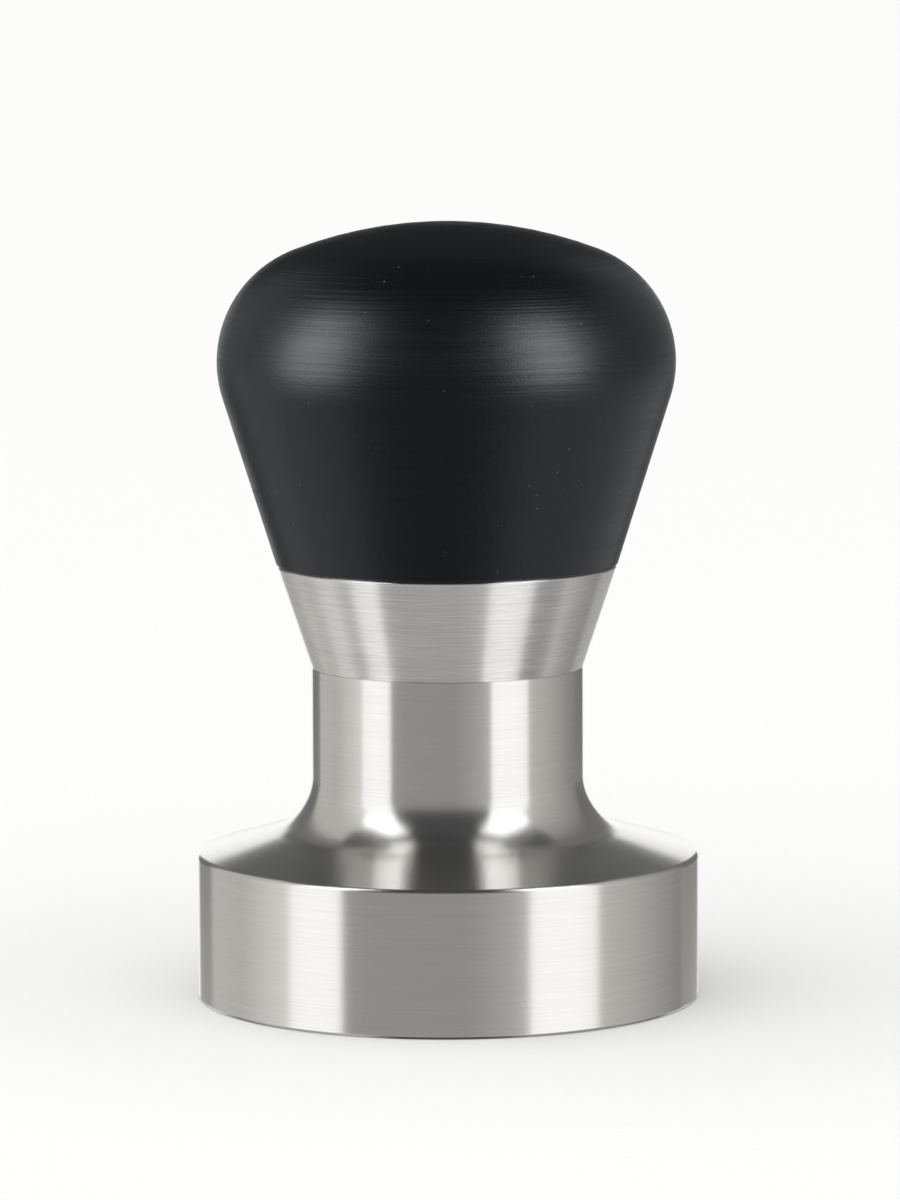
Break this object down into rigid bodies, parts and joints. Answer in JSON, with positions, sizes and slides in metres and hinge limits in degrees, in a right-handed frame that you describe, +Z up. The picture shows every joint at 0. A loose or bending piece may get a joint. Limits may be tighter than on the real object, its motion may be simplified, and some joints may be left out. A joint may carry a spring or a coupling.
{
  "type": "espresso tamper",
  "caption": "Espresso tamper: solid steel base with a straight neck, a conical steel ferrule and a domed black grip, on a screw thread that lets the base be changed.",
  "frame": {"origin": "centre of the tamping face, the flat underside of the base", "axes": "+Z up the axis from the tamping face to the grip's crown"},
  "size_m": [0.058, 0.058, 0.0897],
  "materials": {
    "base_steel": "turned and satin polished stainless steel",
    "ferrule_steel": "turned stainless steel with coarse circular brushing",
    "ring_rubber": "matte black nitrile rubber",
    "grip_acetal": "turned black acetal with fine lathe lines",
    "insert_brass": "machined brass",
    "stud_steel": "plain stainless set screw"
  },
  "bodies": {
    "base": {"base": "base_steel"},
    "seal": {"o_ring": "ring_rubber"},
    "handle": {"ferrule": "ferrule_steel", "grip": "grip_acetal", "threaded_insert": "insert_brass", "stud": "stud_steel"}
  },
  "joints": [
    {"name": "handle_lift", "type": "slide", "parent": "base", "child": "seal", "axis": [0, 0, 1], "range_m": [0, 0.0105]},
    {"name": "handle_unscrew", "type": "hinge", "parent": "seal", "child": "handle", "pos_m": [0, 0, 0.0384], "axis": [0, 0, 1], "range_deg": [0, 2520]}
  ],
  "couplings": [
    {"joint": "handle_lift", "follows": "handle_unscrew", "m_per_rad": 0.00023873}
  ]
}
